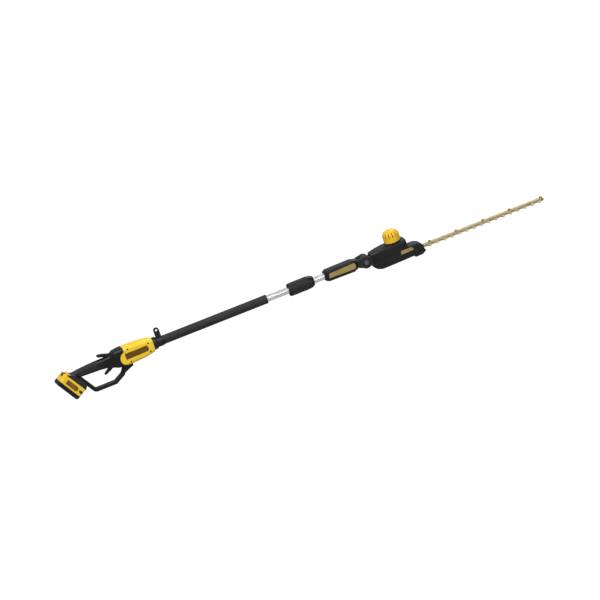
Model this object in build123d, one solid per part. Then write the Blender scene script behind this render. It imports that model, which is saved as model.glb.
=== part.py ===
from build123d import *
import math
import os

# Cordless pole hedge trimmer, millimetres. It is modelled about the pole: the pole axis is
# y = 0, z = 0, +X runs from the battery to the blade tip and +Z is the side of the motor cap.
# Stations along X count from the rear of the battery. At the end every piece is moved so that
# the centre of the strap eye, where the tool is slung, is the origin.

# Fits
GAP = 0.3             # between pieces that move past each other
SHAFT_FIT = 0.06      # radial, a pin or shaft in its bore
SEAT = 0.05           # radial, a fixed round piece in its seat
WALL = 2.6            # plastic housings

# Battery pack and the foot that it slides on to
PACK_LEAN = 58.0      # degrees below the pole axis
PACK_X, PACK_Z = 87.0, -21.0      # centre of the face where pack and foot meet
PACK_LONG = 112.0
PACK_HALF = 38.0
PACK_DEEP = 54.0
PACK_SPLIT = 36.0     # depth of the yellow upper case
HEAD_LONG = 84.0      # raised rail block on the pack
HEAD_HALF = 28.0
HEAD_HIGH = 11.0
CELL_R = 9.1
CELL_LONG = 65.0
CELL_PITCH = 19.4
CELL_COUNT = 5
FOOT_LOW, FOOT_HIGH = -48.0, 60.0
FOOT_TOP_LOW, FOOT_TOP_HIGH = -20.0, 52.0
FOOT_HALF = 35.0
FOOT_DEEP = 21.0
RAIL_GRIP = 3.5
RAIL_THICK = 3.0
TERMINAL_Y = (-15.0, -5.0, 5.0, 15.0)
CELL_ROWS = (-18.5, -38.0)
LATCH_BACK, LATCH_HALF, LATCH_LOW = -47.5, 13.0, -12.0

# Rear handle
HANDLE_BACK = 84.0
HANDLE_SPLIT = 317.0  # black rear housing meets the yellow body here
BODY_END = 445.0
BULGE_X, BULGE_Z, BULGE_R = 322.0, -7.0, 28.0
SHOULDER_END, SHOULDER_Z = 345.0, -36.5      # the black housing runs on under the yellow body
LOOP_THICK = 17.0
LOOP_HALF = 12.5
LOOP_LOW = -92.0
LOOP_BEND = 16.0
SLEEVE_BACK, SLEEVE_FRONT = 112.0, 196.0
SLEEVE_THICK = 1.6
TRIGGER_X, TRIGGER_Z = 257.0, -17.0
TRIGGER_HALF = 7.0
LEVER_X, LEVER_Z = 252.0, 20.0
LEVER_HALF = 9.0
PIN_R = 2.0
SWITCH_BACK, SWITCH_FRONT = 214.0, 254.0
LEAD_R = 2.6
SCREW_R = 1.8
SCREW_HEAD_R = 3.6
SCREW_HEAD = 2.4
SCREW_LONG = 22.0
PLATE_DEEP = 1.2
COIL_R = 3.4
COIL_WIRE = 0.6

# Poles, strap bracket and coupler
TUBE_R = 14.0
TUBE_WALL = 1.7
FOAM_R = 18.8
FOAM_BACK, FOAM_FRONT = 490.4, 955.5
COLLAR_END = 465.0
COLLAR_R = 26.5
EAR_X = 477.5         # strap bracket, middle of its width
EAR_WIDE = 25.0
EAR_THICK = 5.0
EAR_SLOT = 0.6
EYE_Z = 49.0
EYE_R = 5.5
BRACKET_R = 21.5
BRACKET_BOLT_Z = 29.0
BRACKET_BOLT_R = 2.5
BRACKET_BOLT_PITCH = 14.0
TUBE_BACK = 400.0
TUBE_FRONT = 1090.0
SOCKET_BACK, SOCKET_FRONT = 1062.0, 1126.0
SOCKET_R = 22.0
SPIGOT_R = 16.0
KEY_HIGH, KEY_WIDE = 2.0, 6.0
PLUG_R = 9.0
SEAL_X = 1120.0
COUPLER_BACK, COUPLER_FRONT = 1052.5, 1165.5
COUPLER_R = 28.0
COUPLER_RIBS = 28
UPPER_FRONT = 1248.0

# Neck and tilt pivot
NECK_BACK, NECK_FRONT = 1212.0, 1357.0
STEM_R = 15.0
PIVOT_X, PIVOT_Z = 1393.0, -3.0
LUG_R = 26.0
PIVOT_R = 7.0
BUTTON_R = 9.5
BUTTON_TRAVEL = 4.0

LUG_IN, LUG_OUT = 20.5, 29.0
HUB_HALF = LUG_IN - GAP
STEM_BACK = 1300.0
BUTTON_SEAT = -LUG_OUT + BUTTON_TRAVEL + 0.8
BUTTON_STEM_R = 4.0
DETENT_R = 15.0

# Cutting head
HEAD_BACK = 1420.0
HEAD_STEP = 1578.0
HEAD_FRONT = 1644.0
MOTOR_X = 1531.0
CAP_R = 35.0
CAP_LOW, CAP_HIGH = 28.0, 83.0
CAP_SLOTS = 14
STATOR_R, ROTOR_R = 27.0, 16.0
STATOR_LOW, STATOR_HIGH = 12.0, 52.0
ROTOR_SHAFT_R = 2.5
BEARING_R = 8.0
BEARING_TOP = 66.0
CRANK_BEARING_Z = -23.5
GEAR_MODULE = 1.0
PINION_TEETH = 10
GEAR_TEETH = 50
BACKLASH = 0.2
GEAR_THICK = 7.0
CRANK_THROW = 4.5
CRANK_R = 11.0
SHAFT_R = 4.0

# Blades
BLADE_Z = -39.0       # underside of the lower blade
BLADE_THICK = 2.5
BLADE_GAP = 0.25
BAR_THICK = 5.0
BAR_HALF = 11.0
BLADE_END = 2191.0
CORE_HALF = 14.0
TOOTH_LONG = 20.0
TOOTH_BASE, TOOTH_TIP = 17.0, 8.0
TOOTH_PITCH = 33.0
TOOTH_COUNT = 16
TOOTH_FIRST = 1672.0
EDGE_ANGLE = 28.0     # ground flanks of the teeth
STUD_FIRST = 1678.0
STUD_PITCH = 120.5
STUD_COUNT = 4
TIP_STUD = 2181.0
STUD_R = 3.0
NUT_R = 6.0
NUT_HIGH = 5.0

FAR = 4000.0
GEAR_X = MOTOR_X + GEAR_MODULE * (PINION_TEETH + GEAR_TEETH) / 2
UPPER_BLADE_Z = BLADE_Z + BLADE_THICK + BLADE_GAP
BAR_Z = UPPER_BLADE_Z + BLADE_THICK + BLADE_GAP
HEAD_SPLIT = BAR_Z + BAR_THICK + 1.0
GEAR_Z = BAR_Z + 0.6


# ------------------------------------------------------------------ small helpers
def rod(a, b, radius, y=0.0, z=0.0):
    """Round bar along X."""
    bar = Cylinder(radius, b - a, align=(Align.CENTER, Align.CENTER, Align.MIN))
    return Pos(a, y, z) * (Rot(0, 90, 0) * bar)


def pin(a, b, radius, x, z):
    """Round bar along Y."""
    bar = Cylinder(radius, b - a, align=(Align.CENTER, Align.CENTER, Align.MIN))
    return Pos(x, a, z) * (Rot(-90, 0, 0) * bar)


def post(a, b, radius, x, y=0.0):
    """Round bar along Z."""
    return Pos(x, y, a) * Cylinder(radius, b - a, align=(Align.CENTER, Align.CENTER, Align.MIN))


def ring(a, b, outer, inner):
    """Tube along X about the pole axis."""
    return rod(a, b, outer) - rod(a - 1, b + 1, inner)


def block(x0, x1, y0, y1, z0, z1):
    middle = Pos((x0 + x1) / 2, (y0 + y1) / 2, (z0 + z1) / 2)
    return middle * Box(x1 - x0, y1 - y0, z1 - z0)


def side_plate(points, half, corner=0.0, middle=0.0):
    """Plate of a given outline in X and Z, as thick as 2 * half in Y."""
    outline = make_face(Polyline(*points, close=True))
    if corner:
        outline = fillet(outline.vertices(), corner)
    return Pos(0, middle, 0) * extrude(Plane.XZ * outline, amount=half, both=True)


def flat_plate(points, low, high, taper=0.0):
    """Plate of a given outline in X and Y, between two heights."""
    outline = make_face(Polyline(*points, close=True))
    return extrude(Pos(0, 0, low) * outline, amount=high - low, taper=taper)


def slot(x, half_long, radius, low, high):
    """Round-ended slot along X, as a solid to cut with."""
    ends = post(low, high, radius, x - half_long) + post(low, high, radius, x + half_long)
    return ends + block(x - half_long, x + half_long, -radius, radius, low, high)


def hull_x(stations, inset=0.0):
    """Rounded box lofted along X. A station is x, half width, low z, high z, corner radius."""
    first, last = stations[0][0], stations[-1][0]
    sections = []
    for x, half, low, high, corner in stations:
        at = x
        if x == first:
            at = x + inset
        if x == last:
            at = x - inset
        plane = Plane(origin=(at, 0, (low + high) / 2), x_dir=(0, 1, 0), z_dir=(1, 0, 0))
        rounded = RectangleRounded(2 * (half - inset), high - low - 2 * inset, max(corner - inset, 0.8))
        sections.append(plane * rounded)
    return loft(sections, ruled=len(stations) > 3)


def left_half(solid):
    return solid & block(-FAR, FAR, 0, FAR, -FAR, FAR)


def right_half(solid):
    return solid & block(-FAR, FAR, -FAR, 0, -FAR, FAR)


PACK_FRAME = Plane(
    origin=(PACK_X, 0, PACK_Z),
    x_dir=(math.cos(math.radians(PACK_LEAN)), 0, -math.sin(math.radians(PACK_LEAN))),
    z_dir=(math.sin(math.radians(PACK_LEAN)), 0, math.cos(math.radians(PACK_LEAN))),
)


def on_pack(solid):
    """Move a piece from the pack's own frame, X along its length and +Z to the tool, to its place."""
    return PACK_FRAME * solid


def screw_y(x, z, seat, length):
    """Pan-head screw along Y; its head seats at y = seat and it points to +Y."""
    return pin(seat - SCREW_HEAD, seat, SCREW_HEAD_R, x, z) + pin(seat, seat + length, SCREW_R, x, z)


# ------------------------------------------------------------------ rear handle and yellow body
GRIP = [
    (HANDLE_BACK, 16.0, -12.0, 11.5, 8.0),
    (SLEEVE_BACK, 17.0, -15.5, 15.5, 11.0),
    (160.0, 18.0, -17.5, 19.5, 12.5),
    (SLEEVE_FRONT, 18.5, -19.0, 21.5, 13.0),
    (232.0, 19.0, -22.5, 22.0, 12.0),
    (262.0, 25.0, -31.0, 26.0, 12.0),
]
BODY = [
    (256.0, 24.0, -26.0, 24.0, 10.0),
    (276.0, 29.5, -36.0, 35.5, 12.0),
    (300.0, 32.5, -40.0, 38.0, 14.0),
    (340.0, 33.5, -39.5, 38.5, 15.0),
    (395.0, 33.0, -36.5, 37.0, 15.0),
    (432.0, 29.0, -31.0, 31.5, 14.0),
    (BODY_END, 26.0, -27.0, 27.0, 13.0),
]
# Housing screws, driven from the right side: x, z and the depth of the head's seat
HANDLE_SCREWS = [(102.0, -1.0, 12.5), (283.0, 20.0, 26.0), (184.0, LOOP_LOW, 8.5), (272.0, -79.5, 8.5)]
COVER_SCREWS = [(334.0, 27.0, 27.0), (334.0, -27.0, 27.0), (424.0, 18.0, 25.0), (424.0, -18.0, 25.0)]
BOSS_R = 5.5


def loop_bar(inset):
    """The D-shaped guard from the foot, under the fingers and up to the front housing."""
    points = [(112, 0, -17), (160, 0, LOOP_LOW), (250, 0, LOOP_LOW), (289, 0, -70), (312, 0, -34)]
    path = FilletPolyline(*points, radius=LOOP_BEND)
    plane = Plane(origin=path @ 0, x_dir=(0, 1, 0), z_dir=path % 0)
    bar = RectangleRounded(2 * (LOOP_HALF - inset), LOOP_THICK - 2 * inset, 5.0 - inset)
    return sweep(plane * bar, path)


def foot_block(inset):
    """The foot behind the handle, in place; the pack slides on to its rear face."""
    sections = []
    for low, high, half, height in (
        (FOOT_LOW, FOOT_HIGH, FOOT_HALF, GAP + inset),
        (FOOT_TOP_LOW, FOOT_TOP_HIGH, FOOT_HALF - 9, FOOT_DEEP - inset),
    ):
        outline = RectangleRounded(high - low - 2 * inset, 2 * (half - inset), 9)
        sections.append(Pos((low + high) / 2, 0, height) * outline)
    return on_pack(loft(sections))


def loop_shoulder():
    """Web that spreads the guard's front leg into the housing under the yellow body."""
    points = [(262, -84), (304, -66), (341, -50), (341, -34), (292, -34), (297, -52), (276, -70)]
    return side_plate(points, LOOP_HALF - 1, 3)


def handle_outer(inset=0.0):
    return hull_x(GRIP, inset) + loop_bar(inset) + foot_block(inset) + loop_shoulder()


def pack_bay():
    """Space in the foot that the pack's rail block slides through, open at its upper end."""
    space = block(
        -PACK_LONG, HEAD_LONG / 2 + GAP, -HEAD_HALF - GAP, HEAD_HALF + GAP, -1, HEAD_HIGH + GAP
    )
    return on_pack(space)


def body_region():
    """Everything ahead of the curved seam between the black handle and the yellow body."""
    ahead = block(HANDLE_SPLIT, FAR, -FAR, FAR, -FAR, FAR) + pin(-FAR, FAR, BULGE_R, BULGE_X, BULGE_Z)
    return ahead - block(0, SHOULDER_END, -FAR, FAR, -FAR, SHOULDER_Z)


def label_outline():
    return side_plate([(318, -13), (416, -11), (421, 0), (415, 13), (318, 13)], 60, 3)


def bosses(places, solid):
    stack = [pin(-60, 60, BOSS_R, x, z) & solid for x, z, seat in places]
    return Part() + stack


def screw_holes(places):
    holes = []
    for x, z, seat in places:
        holes.append(pin(-seat, SCREW_LONG - seat, SCREW_R + SEAT, x, z))
        holes.append(pin(-60, -seat, SCREW_HEAD_R + GAP, x, z))
    return Part() + holes


def screws(places):
    return Part() + [screw_y(x, z, -seat, SCREW_LONG - 1) for x, z, seat in places]


def sleeve_space():
    """Skin of the grip that the soft sleeve replaces."""
    band = block(SLEEVE_BACK, SLEEVE_FRONT, -60, 60, -60, 60)
    return (hull_x(GRIP, -2) - hull_x(GRIP, SLEEVE_THICK)) & band


def housing():
    """Handle and body in one hollow piece, before it is parted into its four shells."""
    outer = handle_outer() + hull_x(BODY)
    hollow = hull_x(GRIP, WALL) + loop_bar(WALL) + hull_x(BODY, WALL) + foot_block(WALL)
    shell = (outer - hollow) + bosses(HANDLE_SCREWS + COVER_SCREWS, outer)
    shell = shell - pack_bay() - switch_lead(LEAD_R + GAP)
    for x in (TUBE_BACK + 4, BODY_END - 8):
        shell = shell + (block(x - 3, x + 3, -40, 40, -40, 40) & hull_x(BODY))
    shell = shell - rod(TUBE_BACK, COLLAR_END, TUBE_R + SEAT)
    # slots for the trigger and the lock-off lever, the sleeve's seat, screws, name plates and pins
    shell = shell - block(221, 274, -TRIGGER_HALF - GAP, TRIGGER_HALF + GAP, -60, 0)
    shell = shell - block(204, 266, -LEVER_HALF - GAP, LEVER_HALF + GAP, 8, 60)
    shell = shell - sleeve_space() - screw_holes(HANDLE_SCREWS + COVER_SCREWS)
    shell = shell - (label_outline() & (hull_x(BODY, -2) - hull_x(BODY, PLATE_DEEP)))
    for x, z in ((TRIGGER_X, TRIGGER_Z), (LEVER_X, LEVER_Z)):
        shell = shell - pin(-60, 60, PIN_R + SEAT, x, z)
    return shell


def grip_sleeve():
    band = block(SLEEVE_BACK, SLEEVE_FRONT, -60, 60, -60, 60)
    return (hull_x(GRIP, -0.5) - hull_x(GRIP, SLEEVE_THICK)) & band


def body_plates():
    """Blank name plates let into both sides of the yellow body."""
    return label_outline() & (hull_x(BODY, -0.4) - hull_x(BODY, PLATE_DEEP))


def lever_pins():
    """Cross pins of the trigger and the lock-off lever, flush with the sides of the handle."""
    pins = pin(-60, 60, PIN_R, TRIGGER_X, TRIGGER_Z) + pin(-60, 60, PIN_R, LEVER_X, LEVER_Z)
    return pins & (hull_x(GRIP) + hull_x(BODY))


def trigger():
    outline = [(264, -11), (250, -11), (242, -25), (220, -40), (216, -46), (222, -48), (251, -35), (265, -25)]
    blade = side_plate(outline, TRIGGER_HALF, 1.5)
    pocket = pin(1, TRIGGER_HALF + 1, COIL_R + 1.5, TRIGGER_X, TRIGGER_Z)
    return blade - pocket - pin(-60, 60, PIN_R + SHAFT_FIT, TRIGGER_X, TRIGGER_Z)


def lock_off_lever():
    outline = [(262, 14), (246, 13), (239, 26), (226, 30), (212, 33), (208, 38), (213, 43), (232, 40), (262, 30)]
    blade = side_plate(outline, LEVER_HALF, 1.5)
    pocket = pin(3, LEVER_HALF + 1, COIL_R + 1.5, LEVER_X, LEVER_Z)
    return blade - pocket - pin(-60, 60, PIN_R + SHAFT_FIT, LEVER_X, LEVER_Z)


def torsion_spring(x, z, start, turns):
    """Coil round a cross pin, in the pocket beside its lever."""
    pitch = 2.2 * COIL_WIRE
    line = Helix(pitch, pitch * turns, COIL_R)
    wire = sweep(Plane(origin=line @ 0, z_dir=line % 0) * Circle(COIL_WIRE), line, is_frenet=True)
    return Pos(x, start, z) * (Rot(-90, 0, 0) * wire)


def switch_module():
    case = block(SWITCH_BACK, SWITCH_FRONT, -8, 8, -5.5, 7)
    return case + post(-9.8, -5.5, 1.6, SWITCH_FRONT - 5)


def controller_module():
    board = block(344, 390, -24, 24, -3, -1)
    sink = block(346, 388, -20, 20, -1, 4)
    fins = [block(346, 388, y - 1, y + 1, 4, 16) for y in range(-18, 19, 6)]
    return board + sink + fins


def switch_lead(radius):
    """Lead in its channel through the grip and the foot, from the switch to the terminals."""
    path = FilletPolyline((SWITCH_BACK, 0, -1), (127, 0, -1), (101, 0, -13.5), (119.5, 0, -46), radius=9)
    return sweep(Plane(origin=path @ 0, z_dir=path % 0) * Circle(radius), path)


def handle_wiring():
    """Leads from the terminals to the switch, the controller and the socket in the coupler."""
    trunk = rod(390, TUBE_FRONT - 20, 3.2, z=-2)
    socket = rod(TUBE_FRONT - 20, TUBE_FRONT - 1, TUBE_R - TUBE_WALL - SEAT)
    return switch_lead(LEAD_R) + rod(SWITCH_FRONT, 344, LEAD_R, z=-2) + trunk + socket


# ------------------------------------------------------------------ foot and battery pack
def terminal_block():
    base = block(HEAD_LONG / 2 + 1, HEAD_LONG / 2 + 9, -22, 22, WALL, HEAD_HIGH + 1)
    return on_pack(base) & foot_block(WALL)


def terminal_blades():
    blades = [
        block(HEAD_LONG / 2 - 14, HEAD_LONG / 2 + 1, y - 0.4, y + 0.4, 4, 9) for y in TERMINAL_Y
    ]
    return on_pack(Part() + blades)


def pack_rails():
    """Two steel-faced rails inside the foot that hold the pack's rail block."""
    rails = []
    for side in (-1, 1):
        inner, outer = side * (HEAD_HALF + GAP + 0.2), side * (FOOT_HALF - WALL - 2)
        web = block(-44, 42, min(inner, outer), max(inner, outer), WALL, HEAD_HIGH)
        lip_in = side * (HEAD_HALF - RAIL_GRIP)
        lip = block(-44, 42, min(lip_in, outer), max(lip_in, outer), WALL, WALL + RAIL_THICK)
        rails.append(web + lip)
    return on_pack(Part() + rails) & foot_block(WALL)


def pack_outer(inset=0.0):
    """The pack's case below its top face, in its own frame."""
    base = Pos(0, 0, -PACK_DEEP + inset) * RectangleRounded(
        PACK_LONG - 10 - 2 * inset, 2 * (PACK_HALF - 5 - inset), 8 - inset
    )
    belt = Pos(0, 0, -PACK_DEEP + 6) * RectangleRounded(
        PACK_LONG - 2 * inset, 2 * (PACK_HALF - inset), 11 - inset
    )
    top = Pos(0, 0, -inset) * RectangleRounded(PACK_LONG - 2 * inset, 2 * (PACK_HALF - inset), 11 - inset)
    return loft([base, belt], ruled=True) + loft([belt, top], ruled=True)


def rail_block(inset=0.0):
    half = HEAD_LONG / 2 - inset
    return block(-half, half, -HEAD_HALF + inset, HEAD_HALF - inset, -WALL - 1, HEAD_HIGH - inset)


def latch_pocket():
    return block(-PACK_LONG / 2 - 1, LATCH_BACK + GAP, -LATCH_HALF - GAP, LATCH_HALF + GAP, LATCH_LOW - 4, 1)


def pack_case_upper():
    outer = (pack_outer() & block(-99, 99, -99, 99, -PACK_SPLIT, 1)) + rail_block()
    hollow = pack_outer(WALL) + rail_block(WALL)
    shell = outer - hollow
    for side in (-1, 1):
        groove_in, groove_out = side * (HEAD_HALF - RAIL_GRIP - GAP), side * (HEAD_HALF + 1)
        lining = block(-42, 42, side * (HEAD_HALF - 7) - 3, side * (HEAD_HALF - 7) + 3, -WALL, HEAD_HIGH - 1)
        shell = shell + lining
        low, high = min(groove_in, groove_out), max(groove_in, groove_out)
        shell = shell - block(-99, 99, low, high, WALL - GAP, WALL + RAIL_THICK + GAP)
    for y in TERMINAL_Y:
        shell = shell - block(HEAD_LONG / 2 - 15, 99, y - 0.9, y + 0.9, 3.4, 9.6)
    return on_pack(shell - latch_pocket())


def pack_case_lower():
    outer = pack_outer() & block(-99, 99, -99, 99, -PACK_DEEP - 1, -PACK_SPLIT)
    return on_pack(outer - pack_outer(WALL))


def pack_cells():
    cells = [pin(-CELL_LONG / 2, CELL_LONG / 2, CELL_R, x, z) for x, z in cell_places()]
    return on_pack(Part() + cells)


def cell_places():
    """Two rows of cells, one above the other."""
    first = -CELL_PITCH * (CELL_COUNT - 1) / 2
    return [(first + index * CELL_PITCH, z) for z in CELL_ROWS for index in range(CELL_COUNT)]


def cell_holder():
    """Frames round both ends of the cells."""
    long = CELL_PITCH * CELL_COUNT + 4
    frames = []
    for side in (-1, 1):
        middle = side * (CELL_LONG / 2 - 6)
        low, high = CELL_ROWS[1] - CELL_R - 1.5, CELL_ROWS[0] + 7
        frames.append(block(-long / 2, long / 2, middle - 3, middle + 3, low, high))
    holes = [pin(-60, 60, CELL_R + SEAT, x, z) for x, z in cell_places()]
    return on_pack((Part() + frames) - holes)


def latch_button():
    button = block(-PACK_LONG / 2 + 0.6, LATCH_BACK, -LATCH_HALF, LATCH_HALF, LATCH_LOW, -0.6)
    catch = block(FOOT_LOW - 5, FOOT_LOW - GAP - 0.3, -8, 8, -1, 3.5)
    ribs = [block(-PACK_LONG / 2 - 0.2, -PACK_LONG / 2 + 1, -9, 9, z, z + 1) for z in (-9, -6.5, -4)]
    return on_pack(button + catch + ribs)


# ------------------------------------------------------------------ pole, collar and strap bracket
def turned(points):
    """Round piece about the pole axis from its half section, points of x and radius."""
    return revolve(Plane.XZ * make_face(Polyline(*points, close=True)), axis=Axis.X)


def body_collar():
    points = [
        (BODY_END, TUBE_R + SEAT), (BODY_END, COLLAR_R), (COLLAR_END - 5, COLLAR_R),
        (COLLAR_END - 0.3, COLLAR_R - 4), (COLLAR_END - 0.3, TUBE_R + SEAT),
    ]
    return turned(points)


def bracket_half(side):
    """Half of the split strap bracket: half ring, tab and strap eye."""
    back, front = EAR_X - EAR_WIDE / 2, EAR_X + EAR_WIDE / 2
    outer_ring = rod(back, front, BRACKET_R) & block(back, front, 0, FAR, -FAR, FAR)
    tab = block(back + 1, front - 1, EAR_SLOT, EAR_SLOT + EAR_THICK, 12, EYE_Z)
    eye = pin(EAR_SLOT, EAR_SLOT + EAR_THICK, EAR_WIDE / 2 - 1, EAR_X, EYE_Z)
    half = outer_ring + tab + eye
    half = half - rod(back - 1, front + 1, TUBE_R + SEAT) - block(back, front, -1, EAR_SLOT, 0, FAR)
    half = half - pin(-60, 60, EYE_R, EAR_X, EYE_Z)
    for x in bracket_bolt_places():
        half = half - pin(-60, 60, BRACKET_BOLT_R + SEAT, x, BRACKET_BOLT_Z)
    if side < 0:
        half = mirror(half, Plane.XZ)
    return half


def bracket_bolt_places():
    return (EAR_X - BRACKET_BOLT_PITCH / 2, EAR_X + BRACKET_BOLT_PITCH / 2)


def bracket_bolts():
    """Two socket-head bolts across the tabs, with their nuts."""
    face = EAR_SLOT + EAR_THICK
    fasteners = []
    for x in bracket_bolt_places():
        z = BRACKET_BOLT_Z
        head = pin(-face - 3, -face, 4.5, x, z) - pin(-face - 4, -face - 1.2, 2, x, z)
        fasteners.append(head + pin(-face, face + 4, BRACKET_BOLT_R, x, z))
        blank = Plane(origin=(x, face, z), z_dir=(0, 1, 0)) * RegularPolygon(4.6, 6)
        fasteners.append(extrude(blank, amount=3.4) - pin(0, 60, BRACKET_BOLT_R + SEAT, x, z))
    return Part() + fasteners


def lower_tube():
    return ring(TUBE_BACK, TUBE_FRONT, TUBE_R, TUBE_R - TUBE_WALL)


def foam_grip():
    points = [
        (FOAM_BACK, TUBE_R), (FOAM_BACK, FOAM_R - 1.5), (FOAM_BACK + 1.5, FOAM_R),
        (FOAM_FRONT - 1.5, FOAM_R), (FOAM_FRONT, FOAM_R - 1.5), (FOAM_FRONT, TUBE_R),
    ]
    return turned(points)


def coupler_socket():
    """Threaded socket fixed on the lower tube; the spigot and its key slide into it."""
    body = turned([
        (SOCKET_BACK, 0), (SOCKET_BACK, SOCKET_R - 2), (SOCKET_BACK + 2, SOCKET_R),
        (SOCKET_FRONT - 1.5, SOCKET_R), (SOCKET_FRONT, SOCKET_R - 1.5), (SOCKET_FRONT, 0),
    ])
    body = body - rod(SOCKET_BACK - 1, TUBE_FRONT, TUBE_R + SEAT)
    body = body - rod(TUBE_FRONT, SOCKET_FRONT + 1, SPIGOT_R + SHAFT_FIT)
    key = KEY_WIDE / 2 + GAP
    return body - block(TUBE_FRONT, SOCKET_FRONT + 1, -key, key, 0, SPIGOT_R + KEY_HIGH + GAP)


def coupler_spigot():
    back = TUBE_FRONT + 1.0
    body = rod(back, SOCKET_FRONT + 1, SPIGOT_R) + rod(SOCKET_FRONT + 1, SOCKET_FRONT + 7, SOCKET_R - 1)
    body = body + block(back, SOCKET_FRONT + 1, -KEY_WIDE / 2, KEY_WIDE / 2, 10, SPIGOT_R + KEY_HIGH)
    body = body - rod(back + 4, SOCKET_FRONT + 8, TUBE_R + SEAT) - rod(back - 1, back + 5, PLUG_R + SEAT)
    groove = ring(SEAL_X - 1.6, SEAL_X + 1.6, SPIGOT_R + 3, SPIGOT_R - 1.2)
    return body - groove


def coupler_seal():
    return Pos(SEAL_X, 0, 0) * (Rot(0, 90, 0) * Torus(SPIGOT_R - 0.6, 0.55))


def coupler_collar():
    """Ribbed nut that draws the two poles together; its front lip runs behind the spigot's flange."""
    lip = SOCKET_FRONT + 7 + GAP
    bore = SOCKET_R + GAP
    body = turned([
        (COUPLER_BACK, bore), (COUPLER_BACK, COUPLER_R - 3), (COUPLER_BACK + 4, COUPLER_R - 0.6),
        (COUPLER_FRONT - 24, COUPLER_R - 0.6), (COUPLER_FRONT - 12, COUPLER_R - 2.5),
        (COUPLER_FRONT - 3, COUPLER_R - 7), (COUPLER_FRONT, COUPLER_R - 11),
        (COUPLER_FRONT, TUBE_R + GAP), (lip, TUBE_R + GAP), (lip, bore),
    ])
    low, high = COUPLER_R - 1.6, COUPLER_R
    points = []
    for index in range(COUPLER_RIBS):
        for share, radius in ((-0.25, low), (-0.13, high), (0.13, high), (0.25, low)):
            angle = 2 * math.pi * (index + share) / COUPLER_RIBS
            points.append((radius * math.cos(angle), radius * math.sin(angle)))
    star = Plane.YZ * make_face(Polyline(*points, close=True))
    ribs = Pos(COUPLER_BACK + 10, 0, 0) * extrude(star, amount=COUPLER_FRONT - COUPLER_BACK - 40)
    return body + (ribs - rod(0, FAR, bore + 1))


def upper_tube():
    return ring(TUBE_FRONT + 5, UPPER_FRONT, TUBE_R, TUBE_R - TUBE_WALL)


def upper_wiring():
    """Plug in the coupler and the lead on to the neck."""
    return rod(TUBE_FRONT + 1, TUBE_FRONT + 22, PLUG_R) + rod(TUBE_FRONT + 22, STEM_BACK + 12, 3.2)


# ------------------------------------------------------------------ neck and tilt pivot
NECK = [
    (NECK_BACK, 18.5, -18.5, 18.5, 9.0),
    (NECK_BACK + 13, 25.0, -25.0, 24.0, 11.0),
    (NECK_FRONT - 20, 26.0, -26.0, 25.0, 11.0),
    (NECK_FRONT, 20.5, -19.0, 19.0, 9.0),
]
NECK_SCREWS = [(1262.0, 19.0, 20.5), (1262.0, -19.5, 20.5), (1326.0, 19.0, 21.5), (1326.0, -19.5, 21.5)]


def neck_outline():
    return side_plate([(1227, -10), (1344, -12), (1350, 2), (1345, 13), (1232, 9)], 60, 2.5)


def neck_shell():
    outer = hull_x(NECK)
    shell = outer - hull_x(NECK, WALL)
    for x in (NECK_BACK + 6, UPPER_FRONT - 6, NECK_FRONT - 30, NECK_FRONT - 8):
        shell = shell + (block(x - 4, x + 4, -40, 40, -40, 40) & outer)
    shell = shell + bosses(NECK_SCREWS, outer)
    shell = shell - rod(NECK_BACK - 1, UPPER_FRONT + 1, TUBE_R + SEAT)
    shell = shell - rod(STEM_BACK - 1, NECK_FRONT + 1, STEM_R + SEAT) - screw_holes(NECK_SCREWS)
    return shell - (neck_outline() & (hull_x(NECK, -2) - hull_x(NECK, PLATE_DEEP)))


def neck_plates():
    return neck_outline() & (hull_x(NECK, -0.4) - hull_x(NECK, PLATE_DEEP))


def pivot_yoke():
    """Stem held in the neck, and the two lugs that carry the pivot pin."""
    yoke = rod(STEM_BACK, NECK_FRONT + 2, STEM_R) - rod(STEM_BACK - 1, STEM_BACK + 14, 8)
    yoke = yoke + block(NECK_FRONT + 0.5, PIVOT_X - LUG_R, -LUG_OUT, LUG_OUT, -STEM_R, STEM_R)
    for side in (-1, 1):
        inner, outer = sorted((side * LUG_IN, side * LUG_OUT))
        low, high = PIVOT_Z - LUG_R, PIVOT_Z + LUG_R
        cheek = [(NECK_FRONT + 0.5, -STEM_R), (PIVOT_X, low), (PIVOT_X, high), (1366, high - 5), (NECK_FRONT + 0.5, STEM_R)]
        arm = side_plate(cheek, (outer - inner) / 2, middle=(inner + outer) / 2)
        yoke = yoke + arm + pin(inner, outer, LUG_R, PIVOT_X, PIVOT_Z)
    yoke = yoke - pin(-60, 60, PIVOT_R + SEAT, PIVOT_X, PIVOT_Z)
    return yoke - pin(-60, BUTTON_SEAT, BUTTON_R + GAP, PIVOT_X, PIVOT_Z)


def pivot_pin():
    sleeve = pin(BUTTON_SEAT + 0.2, LUG_OUT, PIVOT_R, PIVOT_X, PIVOT_Z)
    sleeve = sleeve + pin(LUG_OUT, LUG_OUT + 3.5, 11, PIVOT_X, PIVOT_Z)
    return sleeve - pin(-60, LUG_OUT - 3, BUTTON_STEM_R + GAP, PIVOT_X, PIVOT_Z)


def tilt_button():
    cap = pin(-LUG_OUT - BUTTON_TRAVEL, BUTTON_SEAT - BUTTON_TRAVEL - 0.5, BUTTON_R, PIVOT_X, PIVOT_Z)
    return cap + pin(-LUG_OUT, -12, BUTTON_STEM_R, PIVOT_X, PIVOT_Z)


def tilt_spring():
    """Coil behind the button's stem, inside the hollow pin."""
    line = Helix(2.6, 26, BUTTON_STEM_R - 0.9)
    wire = sweep(Plane(origin=line @ 0, z_dir=line % 0) * Circle(0.6), line, is_frenet=True)
    return Pos(PIVOT_X, -6.5, PIVOT_Z) * (Rot(-90, 0, 0) * wire)


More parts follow.
